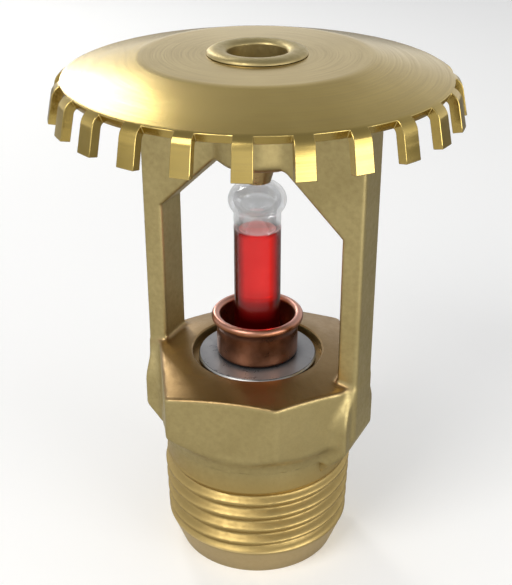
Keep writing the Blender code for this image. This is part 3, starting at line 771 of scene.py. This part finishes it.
def make_cap(material):
    """Drawn copper cup with a rolled rim, a shoulder on the spring and a nose through its hole."""
    shoulder_z = SPRING_HIGH_Z + FILM_GAP + FILM_THICK + SKIN_GAP
    bead_r = (CAP_RIM_R - CAP_WALL_R + CAP_WALL) / 2.0
    bead_mid = CAP_RIM_R - bead_r
    inside_r = CAP_WALL_R - CAP_WALL
    nose_in = CAP_NOSE_R - CAP_WALL
    outside = [(0.0, CAP_LOW_Z), (CAP_NOSE_R, CAP_LOW_Z), (CAP_NOSE_R, shoulder_z), (CAP_WALL_R, shoulder_z),
               (CAP_WALL_R, CAP_RIM_Z - 1.7)]
    rim = arc(bead_mid, CAP_RIM_Z - bead_r, bead_r, -62.0, 180.0, 20)
    shelf_z = shoulder_z + CAP_WALL
    floor_z = CAP_LOW_Z + CAP_WALL
    inside = [(inside_r, CAP_RIM_Z - 1.6), (inside_r, shelf_z), (nose_in, shelf_z), (nose_in, floor_z),
              (0.0, floor_z)]
    piece = lathe("cap_cup", fillet(outside, 0.45, 6) + rim + fillet(inside, 0.35, 5), material)
    stand_for(piece, "cap", "pip_cap")


def make_insert(material):
    """Seat ring at the bottom of the cap, coned for the bulb's foot."""
    low = CAP_LOW_Z + CAP_WALL + SKIN_GAP
    outline = [(INSERT_R, low + 0.5), (INSERT_R, low + 1.05), (1.9, low + 1.03), (INSERT_HOLE_R, low + 0.28),
               (INSERT_HOLE_R, low), (INSERT_R, low), (INSERT_R, low + 0.5)]
    piece = lathe("cap_seat_insert", fillet(outline, 0.08, 3)[:-1], material, SMALL_SEGMENTS)
    stand_for(piece, "cap", "cap_insert")


def cone_ring(name, inner_r, outer_r, base_z, thick, material):
    """A shallow conical washer with rounded edges, whose inner edge stands higher."""
    rise = SPRING_HIGH_Z - SPRING_LOW_Z - SPRING_THICK
    slope = rise / (SPRING_OUTER_R - SPRING_INNER_R)
    edge = 0.3 * thick

    def height(r):
        return base_z + (SPRING_OUTER_R - r) * slope

    outline = [(outer_r - edge, height(outer_r)), (outer_r, height(outer_r) + edge),
               (outer_r, height(outer_r) + thick - edge), (outer_r - edge, height(outer_r) + thick)]
    radii = np.linspace(outer_r - edge, inner_r + edge, 14)
    outline += [(r, height(r) + thick) for r in radii[1:]]
    outline += [(inner_r, height(inner_r) + thick - edge), (inner_r, height(inner_r) + edge)]
    outline += [(r, height(r)) for r in radii[::-1][:-1]]
    return lathe(name, outline, material)


def make_spring_and_films(spring_material, film_material):
    """Spring washer between two sealing films; the spring and the upper film stay fixed where they are made,
    the lower film rides on the frame.
    """
    spring = cone_ring("spring_washer", SPRING_INNER_R, SPRING_OUTER_R, SPRING_LOW_Z, SPRING_THICK,
                       spring_material)
    spring_top = SPRING_LOW_Z + SPRING_THICK
    low_z = SPRING_LOW_Z - FILM_GAP - FILM_THICK
    high_z = spring_top + FILM_GAP
    inner, outer = SPRING_INNER_R + FILM_INSET, SPRING_OUTER_R - FILM_INSET
    lower = cone_ring("film_lower", inner, outer, low_z, FILM_THICK, film_material)
    upper = cone_ring("film_upper", inner, outer, high_z, FILM_THICK, film_material)
    for piece, node, slot, base in ((spring, "belleville_spring", "nickel_alloy", spring_top),
                                    (upper, "seal_film_upper", "ptfe_film", high_z + 0.03)):
        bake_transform(piece)
        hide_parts(node)
    stand_for(lower, "frame", "seal_film_lower")


# ---- materials

def set_range(node, low, high, start, end):
    """Set the limits of a Map Range node."""
    for name, number in (("From Min", low), ("From Max", high), ("To Min", start), ("To Max", end)):
        node.inputs[name].default_value = number


class Look:
    """A material and short ways to add nodes to it."""

    def __init__(self, name):
        self.material = bpy.data.materials.new(name)
        self.material.use_nodes = True
        self.tree = self.material.node_tree
        self.shader = self.tree.nodes["Principled BSDF"]
        self.output = self.tree.nodes["Material Output"]
        coordinates = self.node("ShaderNodeTexCoord")
        scale = self.node("ShaderNodeVectorMath")
        scale.operation = "SCALE"
        self.link(coordinates.outputs["Object"], scale.inputs[0])
        scale.inputs["Scale"].default_value = 1.0 / MM
        self.place = scale.outputs[0]

    def node(self, kind):
        return self.tree.nodes.new(kind)

    def link(self, source, target):
        self.tree.links.new(source, target)

    def feed(self, target, value):
        """Set an input to a number or a colour, or link a socket to it."""
        if hasattr(value, "links"):
            self.link(value, target)
        elif isinstance(value, tuple) and len(value) == 3 and target.type == "RGBA":
            target.default_value = (*value, 1.0)
        else:
            target.default_value = value

    def maths(self, operation, a, b=0.0):
        node = self.node("ShaderNodeMath")
        node.operation = operation
        self.feed(node.inputs[0], a)
        self.feed(node.inputs[1], b)
        return node.outputs[0]

    def times(self, a, b):
        return self.maths("MULTIPLY", a, b)

    def noise(self, scale, detail=3.0, roughness=0.55, place=None):
        """Noise whose scale counts features per millimetre."""
        node = self.node("ShaderNodeTexNoise")
        self.feed(node.inputs["Vector"], self.place if place is None else place)
        node.inputs["Scale"].default_value = scale
        node.inputs["Detail"].default_value = detail
        node.inputs["Roughness"].default_value = roughness
        return node.outputs["Fac"]

    def ramp(self, value, low, high, start=0.0, end=1.0):
        node = self.node("ShaderNodeMapRange")
        node.clamp = True
        self.feed(node.inputs["Value"], value)
        set_range(node, low, high, start, end)
        return node.outputs["Result"]

    def mix(self, factor, a, b):
        node = self.node("ShaderNodeMix")
        node.data_type = "RGBA"
        self.feed(node.inputs["Factor"], factor)
        self.feed(node.inputs[6], a)
        self.feed(node.inputs[7], b)
        return node.outputs[2]

    def split(self, vector=None):
        node = self.node("ShaderNodeSeparateXYZ")
        self.feed(node.inputs[0], self.place if vector is None else vector)
        return node.outputs["X"], node.outputs["Y"], node.outputs["Z"]

    def combine(self, x, y, z):
        node = self.node("ShaderNodeCombineXYZ")
        for socket, value in zip(node.inputs, (x, y, z)):
            self.feed(socket, value)
        return node.outputs[0]

    def bump(self, height, strength, distance_mm):
        node = self.node("ShaderNodeBump")
        self.feed(node.inputs["Height"], height)
        self.feed(node.inputs["Strength"], strength)
        node.inputs["Distance"].default_value = distance_mm * MM
        self.link(node.outputs["Normal"], self.shader.inputs["Normal"])

    def hollow(self, distance_mm):
        """1 in the open and towards 0 in corners and grooves."""
        node = self.node("ShaderNodeAmbientOcclusion")
        node.inputs["Distance"].default_value = distance_mm * MM
        node.samples = 8
        return node.outputs["AO"]

    def edges(self, radius_mm):
        """Above 0 along convex edges: how far a rounded normal leans away from the true one."""
        bevel = self.node("ShaderNodeBevel")
        bevel.samples = 4
        bevel.inputs["Radius"].default_value = radius_mm * MM
        geometry = self.node("ShaderNodeNewGeometry")
        dot = self.node("ShaderNodeVectorMath")
        dot.operation = "DOT_PRODUCT"
        self.link(bevel.outputs[0], dot.inputs[0])
        self.link(geometry.outputs["Normal"], dot.inputs[1])
        return self.maths("SUBTRACT", 1.0, dot.outputs["Value"])

    def upward(self, low, high):
        """0 to 1 as the upward part of the surface's normal rises from low to high."""
        geometry = self.node("ShaderNodeNewGeometry")
        return self.ramp(self.split(geometry.outputs["Normal"])[2], low, high)

    def finish(self, colour, roughness, **values):
        """Set the shader's inputs and return the material."""
        for name, value in {"Base_Color": colour, "Roughness": roughness, **values}.items():
            self.feed(self.shader.inputs[name.replace("_", " ")], value)
        return self.material

    def metal(self, colour, roughness):
        return self.finish(colour, roughness, Metallic=1.0)


def cast_brass():
    """Tumbled cast brass: mottled olive-gold and finely sandy; painted shade makes the top of the boss a
    darker brown and darkens the hollows, and a painted floor reflection lightens the lead chamfer.
    """
    look = Look("cast_brass_look")
    broad = look.ramp(look.noise(0.16, 3.0), 0.32, 0.68)
    fine = look.noise(1.6, 5.0, 0.65)
    z = look.split()[2]
    colour = look.mix(broad, (0.46, 0.37, 0.17), (0.54, 0.44, 0.21))
    colour = look.mix(look.ramp(fine, 0.35, 0.75, 0.0, 0.45), colour, (0.34, 0.26, 0.11))
    golden = look.ramp(z, COLLAR_LOW_Z, COLLAR_LOW_Z - 2.6)
    colour = look.mix(look.times(golden, 0.75), colour, (0.50, 0.35, 0.12))
    # Painted shade: the colour darkens towards corners and grooves, where occlusion finds them.
    shade = look.ramp(look.hollow(1.6), 0.35, 0.95, 0.55, 0.0)
    colour = look.mix(shade, colour, (0.16, 0.11, 0.045))
    bright = look.ramp(look.edges(0.25), 0.02, 0.22, 0.0, 0.4)
    colour = look.mix(bright, colour, (0.66, 0.53, 0.27))
    # Painted shade: faces that look up on top of the boss are painted a darker brown, and made a little less
    # rough.
    top = look.times(look.upward(0.15, 0.7), look.ramp(z, EDGE_Z - 0.5, EDGE_Z - 0.2))
    top = look.times(top, look.ramp(z, BODY_TOP_Z + 0.9, BODY_TOP_Z + 0.2, 0.0, 0.88))
    colour = look.mix(top, colour, look.mix(broad, (0.25, 0.155, 0.065), (0.33, 0.21, 0.098)))
    # Painted reflection of the bright floor: the lead chamfer at the bottom of the thread is painted lighter.
    colour = look.mix(look.ramp(z, LEAD_TOP_Z + 0.4, LEAD_TOP_Z - 0.2, 0.0, 0.6), colour, (0.80, 0.66, 0.42))
    rough = look.ramp(fine, 0.3, 0.7, 0.36, 0.52)
    rough = look.maths("SUBTRACT", rough, look.times(golden, 0.02))
    rough = look.maths("SUBTRACT", rough, look.times(top, 0.08))
    grain = look.maths("ADD", look.times(look.noise(7.0, 3.0), 0.5), fine)
    look.bump(grain, 0.32, 0.05)
    return look.metal(colour, rough)


def sheet_brass():
    """Pressed and turned sheet: rings of brushing on the top, brighter sheared edges."""
    look = Look("sheet_brass_look")
    x, y, z = look.split()
    radius = look.maths("SQRT", look.maths("ADD", look.times(x, x), look.times(y, y)))
    angle = look.maths("ARCTAN2", y, x)
    stretched = look.combine(look.times(radius, 5.0), look.times(angle, 0.9),
                             look.times(z, 2.0))
    rings = look.noise(1.0, 4.0, 0.7, stretched)
    broad = look.noise(0.12, 3.0)
    colour = look.mix(look.ramp(broad, 0.3, 0.7), (0.46, 0.33, 0.09), (0.54, 0.40, 0.125))
    colour = look.mix(look.ramp(rings, 0.35, 0.7, 0.0, 0.3), colour, (0.34, 0.255, 0.105))
    bright = look.ramp(look.edges(0.2), 0.02, 0.25, 0.0, 0.6)
    colour = look.mix(bright, colour, (0.80, 0.66, 0.33))
    rough = look.ramp(rings, 0.3, 0.7, 0.17, 0.27)
    look.bump(rings, 0.12, 0.03)
    tangent = look.node("ShaderNodeTangent")
    tangent.direction_type = "RADIAL"
    tangent.axis = "Z"
    look.link(tangent.outputs[0], look.shader.inputs["Tangent"])
    return look.finish(colour, rough, Metallic=1.0, Anisotropic=0.55)


def screw_brass():
    """Turned brass of the load screw, darker and smoother than the casting."""
    look = Look("screw_brass_look")
    fine = look.noise(2.5, 4.0)
    colour = look.mix(fine, (0.36, 0.24, 0.10), (0.50, 0.35, 0.16))
    look.bump(look.noise(6.0, 2.0), 0.15, 0.02)
    return look.metal(colour, look.ramp(fine, 0.3, 0.7, 0.25, 0.38))


def copper():
    """Drawn copper with a brown patina and drawing lines around the wall, painted shade in its hollows and a
    painted highlight along its rim.
    """
    look = Look("copper_look")
    x, y, z = look.split()
    stretched = look.combine(look.times(x, 0.3), look.times(y, 0.3),
                             look.times(z, 9.0))
    lines = look.noise(1.0, 3.0, 0.6, stretched)
    patch = look.noise(0.5, 4.0, 0.6)
    colour = look.mix(look.ramp(patch, 0.35, 0.65), (0.30, 0.125, 0.06), (0.41, 0.185, 0.105))
    # Painted shade: darker towards hollows and the inside of the cup, where occlusion finds them.
    colour = look.mix(look.ramp(look.hollow(1.2), 0.3, 0.9, 0.7, 0.0), colour, (0.05, 0.016, 0.012))
    # Painted highlight: a pale pinkish band along the top of the rim.
    rim = look.ramp(z, CAP_RIM_Z - 0.35, CAP_RIM_Z - 0.05, 0.0, 0.7)
    colour = look.mix(rim, colour, (0.66, 0.36, 0.30))
    look.bump(lines, 0.15, 0.03)
    return look.metal(colour, look.ramp(patch, 0.3, 0.7, 0.26, 0.4))


def grey_metal(name, dark, light, rough):
    """Spring or insert metal with fine wear."""
    look = Look(name)
    fine = look.noise(2.0, 4.0)
    look.bump(look.noise(8.0, 2.0), 0.12, 0.02)
    return look.metal(look.mix(fine, dark, light), look.ramp(fine, 0.3, 0.7, rough, rough + 0.14))


def film():
    """Thin grey PTFE skin, slightly waxy."""
    look = Look("ptfe_film_look")
    patch = look.noise(0.9, 4.0)
    colour = look.mix(patch, (0.24, 0.24, 0.25), (0.36, 0.36, 0.37))
    # Painted shade: the film darkens towards the cup and other parts close by, where occlusion finds them.
    colour = look.mix(look.ramp(look.hollow(1.4), 0.35, 0.9, 0.85, 0.0), colour, (0.03, 0.026, 0.026))
    look.bump(look.noise(4.0, 3.0), 0.2, 0.02)
    return look.finish(colour, look.ramp(patch, 0.3, 0.7, 0.25, 0.38), Metallic=0.6)


def glass():
    """Clear glass that lets lamps through to the liquid, and is clearer where the bulb is empty."""
    look = Look("glass_look")
    wave = look.noise(0.35, 2.0)
    look.bump(wave, 0.05, 0.05)
    clear = look.node("ShaderNodeBsdfTransparent")
    clear.inputs["Color"].default_value = (0.97, 0.975, 0.985, 1.0)
    path = look.node("ShaderNodeLightPath")
    mixer = look.node("ShaderNodeMixShader")
    empty = look.ramp(look.split()[2], LIQUID_TOP_Z - 0.4, LIQUID_TOP_Z + 0.4, 0.08, 0.66)
    look.link(look.maths("MAXIMUM", path.outputs["Is Shadow Ray"], empty), mixer.inputs[0])
    look.link(look.shader.outputs[0], mixer.inputs[1])
    look.link(clear.outputs[0], mixer.inputs[2])
    look.link(mixer.outputs[0], look.output.inputs["Surface"])
    rough = look.ramp(wave, 0.3, 0.7, 0.01, 0.04)
    return look.finish((0.99, 0.992, 1.0), rough, IOR=1.47, Transmission_Weight=1.0)


def see_through(look, tint, painted_glow=None):
    """Let light pass straight on, coloured by the tint, and add a painted glow, if any, standing in for light
    that the dye would scatter.
    """
    clear = look.node("ShaderNodeBsdfTransparent")
    look.feed(clear.inputs["Color"], tint)
    surface = clear.outputs[0]
    if painted_glow is not None:
        # Painted glow: an emission that stands in for light.
        painted_glow_shader = look.node("ShaderNodeEmission")
        look.feed(painted_glow_shader.inputs["Color"], painted_glow)
        both = look.node("ShaderNodeAddShader")
        look.link(surface, both.inputs[0])
        look.link(painted_glow_shader.outputs[0], both.inputs[1])
        surface = both.outputs[0]
    look.link(surface, look.output.inputs["Surface"])
    return look.material


def wetted_glass():
    """Inner wall of the bulb below the liquid's surface, where glass and liquid meet without a border."""
    look = Look("wetted_glass_look")
    swirl = look.ramp(look.noise(0.5, 2.0), 0.3, 0.7)
    return see_through(look, look.mix(swirl, (0.97, 0.97, 0.97), (1.0, 1.0, 1.0)))


def red_liquid():
    """Dyed liquid: bright red through its middle, with painted shade darker towards its edges and inside the
    cup, and a painted glow above the cup's rim.
    """
    look = Look("red_liquid_look")
    facing = look.node("ShaderNodeLayerWeight")
    facing.inputs["Blend"].default_value = 0.5
    swirl = look.ramp(look.noise(0.5, 2.0), 0.3, 0.7)
    middle = look.mix(swirl, (0.92, 0.19, 0.185), (0.96, 0.24, 0.225))
    # Painted shade: darker towards the edges, where the surface turns away.
    edge = look.ramp(facing.outputs["Facing"], 0.14, 0.34)
    # Painted light: glowing and brighter above the cup's rim, and painted shade below it inside the cup.
    painted_light_above_rim = look.ramp(look.split()[2], CAP_RIM_Z - 0.5, CAP_RIM_Z + 2.2)
    painted_glow = look.mix(painted_light_above_rim, (0.012, 0.0, 0.0), (0.20, 0.005, 0.005))
    tint = look.mix(painted_light_above_rim, (0.5, 0.03, 0.03), look.mix(edge, middle, (0.45, 0.12, 0.13)))
    return see_through(look, tint, look.mix(edge, painted_glow, (0.01, 0.0, 0.0)))


def liquid_surface():
    """The meniscus on top of the liquid, painted pale pink: a painted sheen for the light its surface
    reflects.
    """
    look = Look("liquid_surface_look")
    swirl = look.ramp(look.noise(0.8, 2.0), 0.3, 0.7)
    look.bump(swirl, 0.1, 0.02)
    return look.finish(look.mix(swirl, (0.90, 0.33, 0.32), (0.98, 0.42, 0.40)), 0.15, IOR=1.36)


# ---- stage

CAMERA_TURN = math.radians(26.0)      # camera's azimuth from -Y towards +X
CAMERA_REACH = 105.37
CAMERA_HEIGHT = 84.53
CAMERA_PITCH = math.radians(26.98)
CAMERA_LENS = 67.1
CAMERA_SENSOR = 36.0
CAMERA_SHIFT = -0.002393              # share of the picture's longer side
FLOOR_HALF = 2500.0
FLOOR_DROP = 0.02
SKY_HORIZON = 1.15
SKY_ZENITH = 0.35
SKY_TOP = 0.85                        # height in the sky, out of 1, from which it stays dim


def make_floor():
    """Pale plain floor, whose reflection in the metal is toned down, least so in front on the left."""
    look = Look("floor_look")
    tone = look.noise(0.004, 2.0)
    pale = look.mix(tone, (0.95, 0.95, 0.945), (0.98, 0.98, 0.975))
    path = look.node("ShaderNodeLightPath")
    x, y = look.split()[:2]
    left, ahead = math.sin(CAMERA_TURN), math.cos(CAMERA_TURN)
    front_left = look.maths("ADD", look.times(x, -left), look.times(y, -ahead))
    mirrored = look.mix(look.ramp(front_left, -55.0, 35.0), (0.34, 0.335, 0.32), (0.66, 0.65, 0.61))
    seen = look.mix(path.outputs["Is Glossy Ray"], pale, mirrored)
    lift = look.times(path.outputs["Is Camera Ray"], 0.07)
    look.finish(seen, 0.7, Emission_Color=(1.0, 1.0, 1.0), Emission_Strength=lift, Specular_IOR_Level=0.1)
    corners = [(x * FLOOR_HALF, y * FLOOR_HALF, 0.0) for x, y in SQUARE]
    floor = new_piece("floor", corners, [(0, 1, 2, 3)], look.material)
    floor.location.z = -FLOOR_DROP * MM


def area_light(name, place_mm, target_mm, size_mm, watts, colour=(1.0, 1.0, 1.0)):
    """A soft rectangular lamp that looks at a point."""
    lamp = bpy.data.lights.new(name, "AREA")
    lamp.shape = "RECTANGLE"
    lamp.size = size_mm[0] * MM
    lamp.size_y = size_mm[1] * MM
    lamp.energy = watts
    lamp.color = colour
    holder = bpy.data.objects.new(name, lamp)
    bpy.context.scene.collection.objects.link(holder)
    place, target = Vector(place_mm) * MM, Vector(target_mm) * MM
    holder.location = place
    holder.rotation_euler = (target - place).to_track_quat("-Z", "Y").to_euler()


def around(turn_deg, reach, height):
    """A place at an azimuth counted from the camera's, positive to the camera's right."""
    angle = CAMERA_TURN + math.radians(turn_deg)
    return (reach * math.sin(angle), -reach * math.cos(angle), height)


def make_sky():
    """Studio sky, brighter at the horizon than overhead."""
    world = bpy.data.worlds.new("studio")
    world.use_nodes = True
    tree = world.node_tree
    coordinates = tree.nodes.new("ShaderNodeTexCoord")
    split = tree.nodes.new("ShaderNodeSeparateXYZ")
    height = tree.nodes.new("ShaderNodeMapRange")
    tree.links.new(coordinates.outputs["Generated"], split.inputs[0])
    tree.links.new(split.outputs["Z"], height.inputs["Value"])
    set_range(height, 0.0, SKY_TOP, SKY_HORIZON, SKY_ZENITH)
    background = tree.nodes["Background"]
    background.inputs["Color"].default_value = (0.97, 0.98, 1.0, 1.0)
    tree.links.new(height.outputs["Result"], background.inputs["Strength"])
    bpy.context.scene.world = world


def make_light():
    """Soft studio light: a strip behind, a large key from the front left, a fill and a low front lamp."""
    bpy.context.scene.view_settings.view_transform = "Standard"
    make_sky()
    centre = (0.0, 0.0, 35.0)
    area_light("strip", around(-156.0, 300.0, 185.0), centre, (45.0, 210.0), 0.22, (1.0, 0.98, 0.93))
    area_light("key", around(-42.0, 230.0, 250.0), centre, (160.0, 160.0), 0.45, (1.0, 0.98, 0.95))
    area_light("fill", around(50.0, 320.0, 140.0), centre, (200.0, 160.0), 0.2)
    area_light("low_front", around(38.0, 320.0, 38.0), centre, (330.0, 70.0), 0.3, (1.0, 0.99, 0.95))


def make_camera():
    """Camera above and in front, a little to the right of the front flat."""
    data = bpy.data.cameras.new("camera")
    data.lens = CAMERA_LENS
    data.sensor_width = CAMERA_SENSOR
    data.shift_x = CAMERA_SHIFT
    data.clip_start = 0.001
    data.clip_end = 20.0
    camera = bpy.data.objects.new("camera", data)
    bpy.context.scene.collection.objects.link(camera)
    camera.location = Vector(around(0.0, CAMERA_REACH, CAMERA_HEIGHT)) * MM
    camera.rotation_euler = (math.pi / 2.0 - CAMERA_PITCH, 0.0, CAMERA_TURN)
    bpy.context.scene.camera = camera


# ---- build

make_frame(cast_brass())
make_deflector(sheet_brass())
make_load_screw(screw_brass())
make_bulb(glass(), wetted_glass())
make_liquid(red_liquid(), liquid_surface())
make_cap(copper())
make_insert(grey_metal("insert_look", (0.42, 0.42, 0.42), (0.6, 0.6, 0.6), 0.28))
make_spring_and_films(grey_metal("spring_look", (0.36, 0.36, 0.35), (0.52, 0.52, 0.5), 0.3), film())
make_floor()
make_light()
make_camera()
